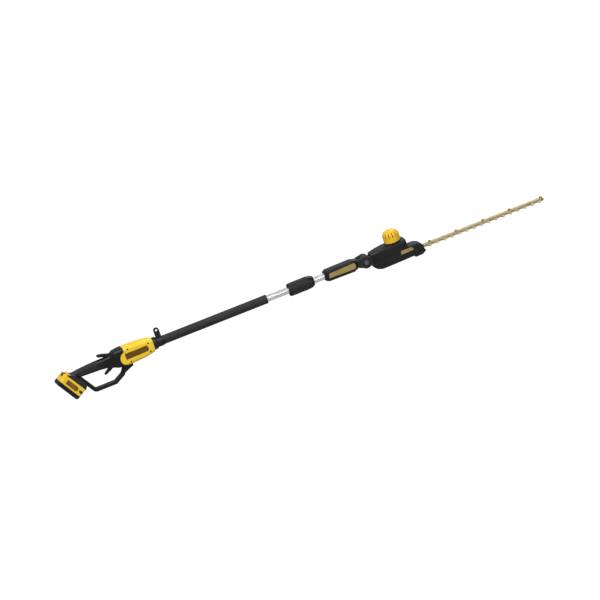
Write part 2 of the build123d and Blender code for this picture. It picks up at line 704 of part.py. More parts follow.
def knuckle():
    """Hub between the lugs, with the arm that is bolted into the head."""
    hub = pin(-HUB_HALF, HUB_HALF, LUG_R - 1.5, PIVOT_X, PIVOT_Z)
    hub = hub + block(PIVOT_X, 1450, -HUB_HALF, HUB_HALF, PIVOT_Z - 18, PIVOT_Z + 14)
    hub = hub - pin(-HUB_HALF - 1, -HUB_HALF + 4, DETENT_R + SEAT, PIVOT_X, PIVOT_Z)
    return hub - pin(-60, 60, PIVOT_R + SHAFT_FIT, PIVOT_X, PIVOT_Z)


def detent_plate():
    """Notched plate in the side of the knuckle, one notch for each locking position."""
    plate = pin(-HUB_HALF + 0.2, -HUB_HALF + 4, DETENT_R, PIVOT_X, PIVOT_Z)
    for step in range(12):
        angle = math.radians(30 * step)
        x, z = PIVOT_X + DETENT_R * math.cos(angle), PIVOT_Z + DETENT_R * math.sin(angle)
        plate = plate - pin(-60, 60, 1.8, x, z)
    return plate - pin(-60, 60, PIVOT_R + SHAFT_FIT, PIVOT_X, PIVOT_Z)


# ------------------------------------------------------------------ cutting head
HEAD = [
    (HEAD_BACK, 26.0, -40.0, 21.0, 9.0),
    (1434, 31.0, -52.0, 23.0, 11.0),
    (1452, 34.5, -57.5, 26.0, 12.0),
    (1484, 37.0, -57.0, 30.0, 14.0),
    (HEAD_STEP, 36.0, -54.5, 30.0, 12.0),
]
NOSE = [
    (HEAD_STEP - 8, 34.0, -54.0, -4.0, 9.0),
    (1616, 31.5, -54.0, -5.0, 9.0),
    (1633, 29.0, -53.0, -12.0, 8.0),
    (HEAD_FRONT, 25.0, -50.0, -24.0, 7.0),
]
HEAD_SCREWS = [(1456.0, 25.0), (1456.0, -25.0), (1488.0, 28.0), (1488.0, -28.0), (1614.0, 23.0), (1614.0, -23.0)]
HEAD_SCREW_Z = -41.5


def head_outer(inset=0.0):
    return hull_x(HEAD, inset) + hull_x(NOSE, inset)


def head_plate_outline():
    return side_plate([(1541, -25.5), (1600, -25.5), (1594, -12), (1545, -10)], 60, 2)


def head_shell():
    outer = head_outer()
    shell = outer - hull_x(HEAD, WALL) - hull_x(NOSE, WALL)
    posts = [post(-60, 40, BOSS_R, x, y) & outer for x, y in HEAD_SCREWS]
    shell = shell + posts + ring_z(-50.5, -43.5, 11, 7)
    seat = post(CAP_LOW - 4, CAP_LOW + 6, CAP_R + 2.5, MOTOR_X)
    shell = shell + seat - post(0, 60, CAP_R - 3, MOTOR_X) - post(CAP_LOW, 60, CAP_R + SEAT, MOTOR_X)
    shell = shell - block(1395, 1450.2, -HUB_HALF - SEAT, HUB_HALF + SEAT, PIVOT_Z - 18, PIVOT_Z + 14)
    shell = shell - block(1600, 1660, -CORE_HALF - 1.5, CORE_HALF + 1.5, BLADE_Z - 0.8, BAR_Z + BAR_THICK + 0.1)
    for x, y in HEAD_SCREWS:
        shell = shell - post(HEAD_SCREW_Z, HEAD_SCREW_Z + SCREW_LONG, SCREW_R + SEAT, x, y)
        shell = shell - post(-70, HEAD_SCREW_Z, SCREW_HEAD_R + GAP, x, y)
    skin = (hull_x(HEAD, -2) + hull_x(NOSE, -2)) - hull_x(HEAD, PLATE_DEEP) - hull_x(NOSE, PLATE_DEEP)
    shell = shell - (head_plate_outline() & skin) - gear_case_blank()
    return shell


def ring_z(low, high, outer, inner):
    """Upright ring on the crank's axis."""
    return post(low, high, outer, GEAR_X) - post(low - 1, high + 1, inner, GEAR_X)


def head_plates():
    skin = (hull_x(HEAD, -0.4) + hull_x(NOSE, -0.4)) - hull_x(HEAD, PLATE_DEEP) - hull_x(NOSE, PLATE_DEEP)
    return head_plate_outline() & skin


def head_screws():
    screws_up = []
    for x, y in HEAD_SCREWS:
        screws_up.append(post(HEAD_SCREW_Z - SCREW_HEAD, HEAD_SCREW_Z, SCREW_HEAD_R, x, y))
        screws_up.append(post(HEAD_SCREW_Z, HEAD_SCREW_Z + SCREW_LONG - 1, SCREW_R, x, y))
    return Part() + screws_up


def gear_case_blank():
    return block(MOTOR_X - 30, GEAR_X + 40, -31, 31, BAR_Z + 0.2, -9)


def gear_case():
    """Cast case that carries the motor, the pinion and the crank gear."""
    radius = GEAR_MODULE * GEAR_TEETH / 2 + 2
    case = gear_case_blank() + post(-9, STATOR_LOW, 26, MOTOR_X)
    case = case - post(BAR_Z, GEAR_Z + GEAR_THICK + 0.6, radius, GEAR_X)
    case = case - post(BAR_Z, GEAR_Z + GEAR_THICK + 0.6, GEAR_MODULE * PINION_TEETH / 2 + 2, MOTOR_X)
    case = case - post(-60, 60, ROTOR_SHAFT_R + 1, MOTOR_X) - post(-21, -13, BEARING_R, MOTOR_X)
    case = case - post(-9, 60, 20, MOTOR_X) - post(-60, CRANK_BEARING_Z + 6, BEARING_R, GEAR_X)
    return case - block(GEAR_X + 31, 1700, -BAR_HALF - SEAT, BAR_HALF + SEAT, -60, BAR_Z + BAR_THICK)


def motor_cap():
    """Domed cap over the motor, with cooling slots round its shoulder."""
    dome_start = CAP_HIGH - 20
    outer = Polyline((0, CAP_LOW), (CAP_R, CAP_LOW), (CAP_R, dome_start))
    crown = ThreePointArc((CAP_R, dome_start), (CAP_R - 8, CAP_HIGH - 6.5), (CAP_R - 20, CAP_HIGH))
    close = Polyline((CAP_R - 20, CAP_HIGH), (0, CAP_HIGH), (0, CAP_LOW))
    solid = revolve(Plane.XZ * make_face(outer + crown + close), axis=Axis.Z)
    hollow = post(CAP_LOW - 1, dome_start, CAP_R - WALL, 0) + loft([
        Pos(0, 0, dome_start) * Circle(CAP_R - WALL), Pos(0, 0, CAP_HIGH - WALL - 3) * Circle(CAP_R - 14)
    ])
    cap = solid - hollow
    cap = cap + (post(BEARING_TOP - 1, CAP_HIGH - 1, BEARING_R + 3, 0) - post(0, BEARING_TOP + 5, BEARING_R, 0))
    for index in range(CAP_SLOTS):
        cut = block(CAP_R - 13, CAP_R + 2, -1.8, 1.8, dome_start - 10, dome_start + 12)
        cap = cap - Rot(0, 0, 360 * (index + 0.5) / CAP_SLOTS) * cut
    return Pos(MOTOR_X, 0, 0) * cap


def stator():
    """Wound core of the motor, with its lead from the knuckle."""
    core = post(STATOR_LOW, STATOR_HIGH, STATOR_R, MOTOR_X) - post(0, 90, ROTOR_R + 0.6, MOTOR_X)
    coils = post(STATOR_LOW - 5, STATOR_HIGH + 4, STATOR_R - 3, MOTOR_X) - post(0, 90, ROTOR_R + 1.5, MOTOR_X)
    wound = core + coils - post(-10, STATOR_LOW, 26.1, MOTOR_X)
    return wound + rod(1450.3, MOTOR_X - STATOR_R - 0.5, LEAD_R, z=20)


def gear_outline(teeth, thin):
    """Involute gear outline about the origin, its first tooth on +X."""
    pitch_r = GEAR_MODULE * teeth / 2
    base_r = pitch_r * math.cos(math.radians(20))
    root_r, tip_r = pitch_r - 1.25 * GEAR_MODULE, pitch_r + 0.95 * GEAR_MODULE
    at_pitch = math.tan(math.acos(base_r / pitch_r)) - math.acos(base_r / pitch_r)
    half = math.pi / (2 * teeth) - thin / (2 * pitch_r)
    flank = []
    for step in range(5):
        radius = max(base_r, root_r) + (tip_r - max(base_r, root_r)) * step / 4
        turn = math.acos(min(base_r / radius, 1.0))
        flank.append((radius, half + at_pitch - (math.tan(turn) - turn)))
    if base_r > root_r:
        flank.insert(0, (root_r, flank[0][1]))
    points = []
    for tooth in range(teeth):
        middle = 2 * math.pi * tooth / teeth
        for radius, angle in flank:
            points.append((radius * math.cos(middle - angle), radius * math.sin(middle - angle)))
        for radius, angle in reversed(flank):
            points.append((radius * math.cos(middle + angle), radius * math.sin(middle + angle)))
    return make_face(Polyline(*points, close=True))


def rotor():
    """Motor shaft with its magnets and the pinion cut on its lower end."""
    shaft = post(GEAR_Z - 0.3, BEARING_TOP + 4, ROTOR_SHAFT_R, 0)
    magnets = post(STATOR_LOW, STATOR_HIGH, ROTOR_R, 0)
    pinion = Pos(0, 0, GEAR_Z) * extrude(gear_outline(PINION_TEETH, BACKLASH), amount=GEAR_THICK)
    return Pos(MOTOR_X, 0, 0) * (shaft + magnets + pinion)


def head_bearings():
    """Two bearings on the motor shaft and two on the crank."""
    low = post(-20, -14, BEARING_R - SEAT, MOTOR_X)
    high = post(BEARING_TOP, BEARING_TOP + 5, BEARING_R - SEAT, MOTOR_X)
    motor = low + high - post(-60, 90, ROTOR_SHAFT_R + SHAFT_FIT, MOTOR_X)
    crank_high = ring_z(CRANK_BEARING_Z + 0.2, CRANK_BEARING_Z + 6, BEARING_R - SEAT, SHAFT_R + SHAFT_FIT)
    return motor + crank_high + ring_z(-49.5, -44, 7 - SEAT, SHAFT_R + SHAFT_FIT)


def crank_gear():
    """Gear with the two opposed eccentrics that drive the blades."""
    gear = Pos(0, 0, GEAR_Z) * extrude(
        Rot(0, 0, 180 + 180 / GEAR_TEETH) * gear_outline(GEAR_TEETH, BACKLASH), amount=GEAR_THICK
    )
    upper = Pos(0, CRANK_THROW, 0) * post(UPPER_BLADE_Z, GEAR_Z, CRANK_R, 0)
    lower = Pos(0, -CRANK_THROW, 0) * post(BLADE_Z, UPPER_BLADE_Z, CRANK_R, 0)
    return Pos(GEAR_X, 0, 0) * (gear + upper + lower + post(-49.5, CRANK_BEARING_Z + 5.5, SHAFT_R, 0))


def nose_guard():
    """Bumper under the blades at the front of the head."""
    outline = [(1588, -47), (1598, -60), (1630, -59), (1646, -50), (1648, -42), (1640, -42)]
    guard = side_plate(outline, 29, 2)
    return guard - hull_x(NOSE) - block(1500, 1700, -17, 17, BLADE_Z - 1.5, 0)


# ------------------------------------------------------------------ blades
def studs():
    return [STUD_FIRST + STUD_PITCH * index for index in range(STUD_COUNT)] + [TIP_STUD]


def blade(low, mirrored):
    """One reciprocating blade: drive window, core and two rows of ground teeth."""
    tail = block(GEAR_X - 27, GEAR_X + 27, -22, 22, low, low + BLADE_THICK)
    neck = [(GEAR_X + 20, -22), (GEAR_X + 34, -CORE_HALF), (GEAR_X + 34, CORE_HALF), (GEAR_X + 20, 22)]
    body = tail + flat_plate(neck, low, low + BLADE_THICK)
    body = body + block(GEAR_X + 30, BLADE_END - 6, -CORE_HALF, CORE_HALF, low, low + BLADE_THICK)
    nose = [(BLADE_END - 8, -CORE_HALF), (BLADE_END, -6), (BLADE_END, 6), (BLADE_END - 8, CORE_HALF)]
    body = body + flat_plate(nose, low, low + BLADE_THICK)
    teeth = []
    for index in range(TOOTH_COUNT):
        x = TOOTH_FIRST + TOOTH_PITCH * index
        for side in (-1, 1):
            root, tip = side * (CORE_HALF - 1.5), side * (CORE_HALF + TOOTH_LONG)
            wide, slim = side * TOOTH_BASE / 2, side * TOOTH_TIP / 2
            outline = [(x - wide, root), (x + wide, root), (x + slim, tip), (x - slim, tip)]
            tooth = flat_plate(outline, 0, BLADE_THICK, taper=EDGE_ANGLE)
            if mirrored:
                tooth = Pos(0, 0, BLADE_THICK) * mirror(tooth, Plane.XY)
            teeth.append(Pos(0, 0, low) * tooth)
    body = body + teeth
    reach = CRANK_THROW + GAP + 0.2
    half_x, half_y = CRANK_R + CRANK_THROW + reach, CRANK_R + reach
    body = body - block(GEAR_X - half_x, GEAR_X + half_x, -half_y, half_y, low - 1, low + BLADE_THICK + 1)
    for x in studs():
        body = body - slot(x, reach, STUD_R + GAP, low - 1, low + BLADE_THICK + 1)
    return body


def blade_bar():
    """Stiff bar on top of the blades; the studs hang the blades from it."""
    bar = block(GEAR_X + 31.2, BLADE_END - 14, -BAR_HALF, BAR_HALF, BAR_Z, BAR_Z + BAR_THICK)
    bar = bar + post(BAR_Z, BAR_Z + BAR_THICK, BAR_HALF, BLADE_END - 14)
    for x in studs():
        bar = bar - post(-90, 90, STUD_R + SEAT, x)
    return bar


def blade_bolts():
    """Bolts that hang both blades from the bar, broad heads below and flanged nuts on top."""
    top = BAR_Z + BAR_THICK
    fasteners = []
    for x in studs():
        head = post(BLADE_Z - GAP - 2.5, BLADE_Z - GAP, 6.5, x)
        fasteners.append(head + post(BLADE_Z - GAP, top + NUT_HIGH + 2, STUD_R, x))
        flange = post(top, top + 1, NUT_R + 1, x)
        nut = flange + extrude(Pos(x, 0, top + 1) * RegularPolygon(NUT_R, 6), amount=NUT_HIGH - 1)
        fasteners.append(nut - post(-90, 90, STUD_R + SEAT, x))
    return Part() + fasteners


# ------------------------------------------------------------------ all pieces, one file each
def pieces():
    shell = housing()
    black, yellow = shell - body_region(), shell & body_region()
    sleeve, neck = grip_sleeve(), neck_shell()
    head = head_shell()
    above = block(-FAR, FAR, -FAR, FAR, HEAD_SPLIT, FAR)
    return {
        "handle_shell_left": left_half(black),
        "handle_shell_right": right_half(black),
        "body_cover_left": left_half(yellow),
        "body_cover_right": right_half(yellow),
        "grip_sleeve": sleeve,
        "body_plates": body_plates(),
        "handle_screws": screws(HANDLE_SCREWS + COVER_SCREWS),
        "trigger": trigger(),
        "lever_pins": lever_pins(),
        "trigger_spring": torsion_spring(TRIGGER_X, TRIGGER_Z, 1.8, 3),
        "lock_off_lever": lock_off_lever(),
        "lock_off_spring": torsion_spring(LEVER_X, LEVER_Z, 3.8, 3),
        "switch_module": switch_module(),
        "controller_module": controller_module(),
        "handle_wiring": handle_wiring(),
        "terminal_block": terminal_block(),
        "terminal_blades": terminal_blades(),
        "pack_rails": pack_rails(),
        "pack_case_upper": pack_case_upper(),
        "pack_case_lower": pack_case_lower(),
        "pack_cells": pack_cells(),
        "pack_cell_holder": cell_holder(),
        "pack_latch_button": latch_button(),
        "body_collar": body_collar(),
        "strap_bracket_left": bracket_half(1),
        "strap_bracket_right": bracket_half(-1),
        "strap_bracket_bolts": bracket_bolts(),
        "lower_tube": lower_tube(),
        "foam_grip": foam_grip(),
        "coupler_socket": coupler_socket(),
        "coupler_spigot": coupler_spigot(),
        "coupler_seal": coupler_seal(),
        "coupler_collar": coupler_collar(),
        "upper_tube": upper_tube(),
        "upper_wiring": upper_wiring(),
        "neck_shell_left": left_half(neck),
        "neck_shell_right": right_half(neck),
        "neck_plates": neck_plates(),
        "neck_screws": screws(NECK_SCREWS),
        "pivot_yoke": pivot_yoke(),
        "pivot_pin": pivot_pin(),
        "tilt_button": tilt_button(),
        "tilt_button_spring": tilt_spring(),
        "knuckle": knuckle(),
        "detent_plate": detent_plate(),
        "head_shell_upper": head & above,
        "head_shell_lower": head - above,
        "head_plates": head_plates(),
        "motor_cap": motor_cap(),
        "motor_stator": stator(),
        "motor_rotor": rotor(),
        "head_bearings": head_bearings(),
        "gear_case": gear_case(),
        "head_screws": head_screws(),
        "nose_guard": nose_guard(),
        "crank_gear": crank_gear(),
        "upper_blade": blade(UPPER_BLADE_Z, False),
        "lower_blade": blade(BLADE_Z, True),
        "blade_bar": blade_bar(),
        "blade_bolts": blade_bolts(),
    }


os.makedirs("parts", exist_ok=True)
TO_EYE = Pos(-EAR_X, 0, -EYE_Z)
for name, solid in pieces().items():
    export_step(TO_EYE * solid, f"parts/{name}.step")
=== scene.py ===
import math

import bmesh
import bpy
from mathutils import Matrix, Vector


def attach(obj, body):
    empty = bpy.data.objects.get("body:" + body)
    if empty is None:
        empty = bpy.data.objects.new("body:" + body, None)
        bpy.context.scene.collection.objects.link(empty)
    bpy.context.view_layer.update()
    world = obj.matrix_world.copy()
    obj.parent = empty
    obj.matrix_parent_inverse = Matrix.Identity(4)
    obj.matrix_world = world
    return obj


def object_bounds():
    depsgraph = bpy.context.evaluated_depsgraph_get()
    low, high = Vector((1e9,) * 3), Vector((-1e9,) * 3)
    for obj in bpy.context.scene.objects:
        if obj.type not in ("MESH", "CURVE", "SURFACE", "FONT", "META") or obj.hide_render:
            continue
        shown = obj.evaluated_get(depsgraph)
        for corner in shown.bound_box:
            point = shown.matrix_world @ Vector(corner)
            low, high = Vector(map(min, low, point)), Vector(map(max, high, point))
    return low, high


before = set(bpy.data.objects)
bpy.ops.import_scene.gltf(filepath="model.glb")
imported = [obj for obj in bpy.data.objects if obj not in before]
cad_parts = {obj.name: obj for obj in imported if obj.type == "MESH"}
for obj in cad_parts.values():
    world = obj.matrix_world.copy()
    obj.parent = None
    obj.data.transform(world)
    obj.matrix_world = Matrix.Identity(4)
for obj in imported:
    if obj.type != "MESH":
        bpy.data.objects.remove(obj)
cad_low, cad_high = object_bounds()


# ---------------------------------------------------------------- Camera, light and floor
# The tool hangs level at working height over a plain pale floor. It is looked at from its right
# side, a little from behind and above, with the camera rolled so that the pole rises to the right.
AROUND = math.radians(-10)
ABOVE = math.radians(16)
ROLL = math.radians(18.8)
AWAY = 30.0
LENS = 437.5
AIM_RIGHT, AIM_UP = -0.001, -0.050
FLOOR_DROP = 1.45
FLOOR_HALF = 40

right = Vector((math.cos(AROUND), math.sin(AROUND), 0))
level = Vector((math.sin(AROUND), -math.cos(AROUND), 0))
back = level * math.cos(ABOVE) + Vector((0, 0, math.sin(ABOVE)))
up = back.cross(right)
across = right * math.cos(ROLL) - up * math.sin(ROLL)
upward = right * math.sin(ROLL) + up * math.cos(ROLL)
aim = (cad_low + cad_high) / 2 + across * AIM_RIGHT + upward * AIM_UP

camera = bpy.data.objects.new("camera", bpy.data.cameras.new("camera"))
camera.data.lens = LENS
camera.data.clip_end = 100
pose = Matrix((across, upward, back)).transposed().to_4x4()
pose.translation = aim + back * AWAY
camera.matrix_world = pose
bpy.context.scene.collection.objects.link(camera)
bpy.context.scene.camera = camera
bpy.context.scene.view_settings.view_transform = "Standard"


def softbox(name, place, size, power):
    """Square studio light at a place, facing the middle of the tool."""
    light = bpy.data.lights.new(name, "AREA")
    light.size = size
    light.energy = power
    lamp = bpy.data.objects.new(name, light)
    lamp.location = aim + Vector(place)
    lamp.rotation_euler = (-Vector(place)).to_track_quat("-Z", "Y").to_euler()
    bpy.context.scene.collection.objects.link(lamp)


softbox("key", (-1.0, -1.9, 3.2), 1.3, 120)
softbox("rim", (1.6, 2.2, 2.8), 1.2, 50)
softbox("fill", (1.5, -3.4, 1.0), 1.6, 30)

# The room is white to the eye and dimmer as a light, so that dark parts keep their depth and
# bright metal keeps a dark edge.
world = bpy.data.worlds.new("pale_room")
world.use_nodes = True
room = world.node_tree
seen = room.nodes.new("ShaderNodeLightPath")
glow = room.nodes.new("ShaderNodeMapRange")
glow.inputs["To Min"].default_value = 0.34
glow.inputs["To Max"].default_value = 1.0
room.links.new(seen.outputs["Is Camera Ray"], glow.inputs["Value"])
room.links.new(glow.outputs["Result"], room.nodes["Background"].inputs["Strength"])
room.nodes["Background"].inputs["Color"].default_value = (1, 1, 1, 1)
bpy.context.scene.world = world

floor_mesh = bmesh.new()
bmesh.ops.create_grid(floor_mesh, x_segments=8, y_segments=8, size=FLOOR_HALF)
floor_data = bpy.data.meshes.new("floor")
floor_mesh.to_mesh(floor_data)
floor = bpy.data.objects.new("floor", floor_data)
floor.location = (aim.x, aim.y, cad_low.z - FLOOR_DROP)
bpy.context.scene.collection.objects.link(floor)
pale = bpy.data.materials.new("pale_floor")
pale.use_nodes = True
tree = pale.node_tree
shader = tree.nodes["Principled BSDF"]
shader.inputs["Base Color"].default_value = (0.55, 0.55, 0.55, 1)
shader.inputs["Roughness"].default_value = 0.9
shader.inputs["Emission Strength"].default_value = 0.8
seen = tree.nodes.new("ShaderNodeLightPath")
tree.links.new(seen.outputs["Is Camera Ray"], shader.inputs["Emission Color"])
floor_data.materials.append(pale)


# ---------------------------------------------------------------- Black housings
# The handle halves, the neck halves, the head housing, the collar and the strap bracket are
# moulded in glass-filled nylon: nearly black, with a spark-eroded grain, a parting line where the
# halves meet, and corners that have rubbed to a dull sheen.
class Signal:
    """One socket of a material's nodes. Sums and products of signals add Math nodes."""

    def __init__(self, material, socket=None):
        self.material = material
        self.socket = socket

    def add(self, kind, settings=None, inputs=None, output=0):
        """Add a node: its settings first, then the values or links of its sockets."""
        made = self.material.node_tree.nodes.new(kind)
        for key, setting in (settings or {}).items():
            setattr(made, key, setting)
        for key, value in (inputs or {}).items():
            self.plug(made.inputs[key], value)
        return Signal(self.material, made.outputs[output])

    def plug(self, socket, value):
        if isinstance(value, Signal):
            self.material.node_tree.links.new(value.socket, socket)
        else:
            socket.default_value = value

    def math(self, operation, first, second=0.0):
        return self.add("ShaderNodeMath", {"operation": operation}, {0: first, 1: second})

    def __add__(self, other):
        return self.math("ADD", self, other)

    def __radd__(self, other):
        return self.math("ADD", other, self)

    def __sub__(self, other):
        return self.math("SUBTRACT", self, other)

    def __rsub__(self, other):
        return self.math("SUBTRACT", other, self)

    def __mul__(self, other):
        return self.math("MULTIPLY", self, other)

    def __rmul__(self, other):
        return self.math("MULTIPLY", other, self)

    def __truediv__(self, other):
        return self.math("DIVIDE", self, other)

    def clamped(self):
        return self.add("ShaderNodeClamp", None, {0: self})

    def size(self):
        return self.math("ABSOLUTE", self)

    def between(self, low, high):
        """Rises from 0 at low to 1 at high."""
        return self.add("ShaderNodeMapRange", {"clamp": True}, {"Value": self, 1: low, 2: high})

    def mix(self, first, second):
        """Colour between two colours, with this signal as the share of the second."""
        node = self.material.node_tree.nodes.new("ShaderNodeMix")
        node.data_type = "RGBA"
        self.plug(node.inputs[0], self)
        self.plug(node.inputs[6], first)
        self.plug(node.inputs[7], second)
        return Signal(self.material, node.outputs[2])

    def noise(self, scale, detail=3.0, roughness=0.55):
        """Cloudy noise over this position, in cycles a metre."""
        return self.add(
            "ShaderNodeTexNoise", None,
            {"Vector": self, "Scale": scale, "Detail": detail, "Roughness": roughness},
        )

    def stretched(self, scales):
        """This position times a scale for each axis."""
        return self.add("ShaderNodeVectorMath", {"operation": "MULTIPLY"}, {0: self, 1: scales})

    def axis(self, letter):
        return self.add("ShaderNodeSeparateXYZ", None, {0: self}, "XYZ".index(letter))

    def bump(self, strength, depth, under=None):
        inputs = {"Height": self, "Strength": strength, "Distance": depth}
        if under is not None:
            inputs["Normal"] = under
        return self.add("ShaderNodeBump", None, inputs)


class Finish(Signal):
    """A material being made: constants go straight on its shader, signals are linked at the end."""

    def __init__(self, name, **constants):
        material = bpy.data.materials.new(name)
        material.use_nodes = True
        super().__init__(material)
        self.shader = material.node_tree.nodes["Principled BSDF"]
        self.surface(**constants)

    def surface(self, **sockets):
        for key, value in sockets.items():
            label = key.replace("_", " ").title().replace("Ior", "IOR")
            self.plug(self.shader.inputs[label], value)

    def place(self):
        """Position on the tool, in metres, along its own axes."""
        return self.add("ShaderNodeTexCoord", None, None, 3)

    def rounded(self, radius):
        """Surface direction with every edge eased by a small radius."""
        return self.add("ShaderNodeBevel", {"samples": 6}, {"Radius": radius})

    def edges(self, radius):
        """Mask of the worn corners, 0 on flats and towards 1 at edges."""
        true = self.add("ShaderNodeNewGeometry", None, None, 1)
        eased = self.rounded(radius)
        product = {"operation": "DOT_PRODUCT"}
        facing = self.add("ShaderNodeVectorMath", product, {0: eased, 1: true}, 1)
        return ((1.0 - facing) * 6.0).clamped()


def cover(material, *names):
    """Give CAD pieces a finish."""
    for name in names:
        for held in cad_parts[name].material_slots:
            held.material = material


def moulded(name, colour, worn, roughness, grain=1.0, seam=None):
    """Moulded plastic: grained, unevenly bright, rubbed at the corners, with a seam if given."""
    skin = Finish(name, roughness=roughness, specular_ior_level=0.3)
    place = skin.place()
    cloud = place.noise(14.0, 4.0)
    fine = place.noise(1500.0, 2.0)
    coarse = place.noise(420.0, 3.0, 0.7)
    rub = skin.edges(0.0016) * (0.35 + place.noise(60.0, 4.0) * 0.9)
    darker = [c * 0.86 for c in colour]
    lighter = [min(c * 1.12, 1) for c in colour]
    shade = cloud.between(0.3, 0.75).mix((*darker, 1), (*lighter, 1))
    skin.surface(base_color=rub.clamped().mix(shade, (*worn, 1)))
    skin.surface(roughness=(roughness - 0.1 + cloud * 0.2 - rub * 0.12).clamped())
    height = fine * 0.6 + coarse * 0.8
    if seam:
        letter, level = seam
        groove = (place.axis(letter) - level).size().between(0.0002, 0.0006)
        height = height * 0.12 + groove * 2.0
        skin.surface(normal=height.bump(0.5 * grain, 0.0004, skin.rounded(0.0008)))
    else:
        skin.surface(normal=height.bump(0.3 * grain, 0.00008, skin.rounded(0.0008)))
    return skin.material


BLACK = (0.007, 0.0075, 0.0085)
WORN_BLACK = (0.040, 0.040, 0.042)
black_seamed = moulded("black_nylon_seamed", BLACK, WORN_BLACK, 0.46, seam=("Y", 0.0))
black = moulded("black_nylon", BLACK, WORN_BLACK, 0.46)
cover(
    black_seamed, "handle_shell_left", "handle_shell_right", "neck_shell_left", "neck_shell_right",
)
cover(
    black, "body_collar", "strap_bracket_left", "strap_bracket_right", "trigger", "lock_off_lever",
    "pack_case_lower", "pack_latch_button", "coupler_collar", "coupler_socket", "coupler_spigot",
    "nose_guard", "terminal_block", "switch_module", "pack_cell_holder", "head_shell_upper",
    "head_shell_lower",
)


# ---------------------------------------------------------------- Yellow covers
# The two body covers, the upper half of the battery and the cap over the motor are moulded in a
# warm yellow, satin rather than grained, and a little darker where hands and dust reach.
YELLOW = (0.88, 0.58, 0.030)
WORN_YELLOW = (0.93, 0.74, 0.22)
yellow_seamed = moulded("yellow_cover_seamed", YELLOW, WORN_YELLOW, 0.36, 0.5, seam=("Y", 0.0))
yellow = moulded("yellow_case", YELLOW, WORN_YELLOW, 0.36, 0.6)
cap_yellow = moulded("motor_cap_yellow", (0.86, 0.50, 0.02), (0.93, 0.66, 0.14), 0.33, 0.5)
cover(yellow_seamed, "body_cover_left", "body_cover_right")
cover(yellow, "pack_case_upper")
cover(cap_yellow, "motor_cap")


# ---------------------------------------------------------------- Soft sleeve and foam grip
# The rear grip has an overmoulded rubber sleeve with fine cross ribs. The long grip on the rear
# pole is a tube of closed-cell foam with a skinned, slightly pitted surface.
def ribbed_rubber(name, rib_pitch):
    skin = Finish(name, roughness=0.7, specular_ior_level=0.35)
    place = skin.place()
    along = place.axis("X") / rib_pitch
    rib = (along.math("FRACT", along) - 0.5).size().between(0.16, 0.34)
    dust = place.noise(90.0, 5.0, 0.65)
    skin.surface(base_color=(dust.between(0.45, 0.8) * 0.6 + rib * 0.15).clamped().mix(
        (0.012, 0.012, 0.0125, 1), (0.035, 0.034, 0.033, 1)))
    skin.surface(roughness=(0.62 + dust * 0.22).clamped())
    height = rib + place.noise(1800.0, 2.0) * 0.15
    skin.surface(normal=height.bump(0.7, 0.0005, skin.rounded(0.0006)))
    return skin.material


def closed_cell_foam(name):
    skin = Finish(name, roughness=0.82, specular_ior_level=0.3)
    place = skin.place()
    cells = place.add("ShaderNodeTexVoronoi", {"feature": "F1"}, {"Vector": place, "Scale": 900.0})
    pits = place.noise(260.0, 5.0, 0.75)
    cloud = place.noise(22.0, 4.0)
    skin.surface(base_color=(cloud * 0.6 + pits * 0.4).between(0.35, 0.72).mix(
        (0.013, 0.013, 0.0135, 1), (0.030, 0.030, 0.031, 1)))
    skin.surface(roughness=(0.52 + cloud * 0.25 + pits * 0.12).clamped())
    skin.surface(normal=(cells * 0.7 + pits).bump(0.55, 0.00035, skin.rounded(0.0012)))
    return skin.material


cover(ribbed_rubber("sleeve_rubber", 0.0042), "grip_sleeve")
cover(closed_cell_foam("grip_foam"), "foam_grip")
cover(ribbed_rubber("seal_rubber", 0.01), "coupler_seal")


# ---------------------------------------------------------------- Poles
# Both poles are drawn aluminium tube, clear anodised: bright, with faint draw lines along the
# tube and smudges where hands have held it.
def drawn_tube(name, colour, roughness):
    skin = Finish(name, metallic=1.0, roughness=roughness)
    place = skin.place()
    stretched = place.stretched((6, 900, 900))
    lines = stretched.noise(1.0, 4.0, 0.6)
    smudge = place.noise(25.0, 5.0, 0.6)
    skin.surface(base_color=(lines * 0.5 + smudge * 0.5).between(0.3, 0.7).mix(
        (*[c * 0.9 for c in colour], 1), (*colour, 1)))
    skin.surface(roughness=(roughness - 0.08 + lines * 0.1 + smudge * 0.12).clamped())
    skin.surface(normal=lines.bump(0.05, 0.00004, skin.rounded(0.0006)))
    return skin.material


cover(drawn_tube("anodised_tube", (0.86, 0.87, 0.88), 0.27), "lower_tube", "upper_tube")


# ---------------------------------------------------------------- Castings
# The pivot yoke, the knuckle and the gear case are pressure die castings, shot blasted: dull
# grains, with metal showing on the corners. The yoke and the knuckle are painted thinly black
# outside; the gear case is left bare grey.
def casting(name, colour, bare):
    skin = Finish(name, metallic=0.55, roughness=0.5)
    place = skin.place()
    blast = place.noise(700.0, 3.0, 0.7)
    cloud = place.noise(35.0, 4.0)
    chip = (skin.edges(0.0012) * (place.noise(160.0, 4.0) * 1.6)).between(0.45, 0.8)
    skin.surface(base_color=chip.mix((*colour, 1), (*bare, 1)))
    skin.surface(roughness=(0.40 + cloud * 0.22 - chip * 0.1).clamped())
    skin.surface(normal=blast.bump(0.45, 0.00015, skin.rounded(0.001)))
    return skin.material


cover(casting("black_casting", (0.022, 0.022, 0.023), (0.32, 0.32, 0.33)), "pivot_yoke", "knuckle")
cover(casting("bare_casting", (0.42, 0.43, 0.44), (0.62, 0.63, 0.64)), "gear_case")


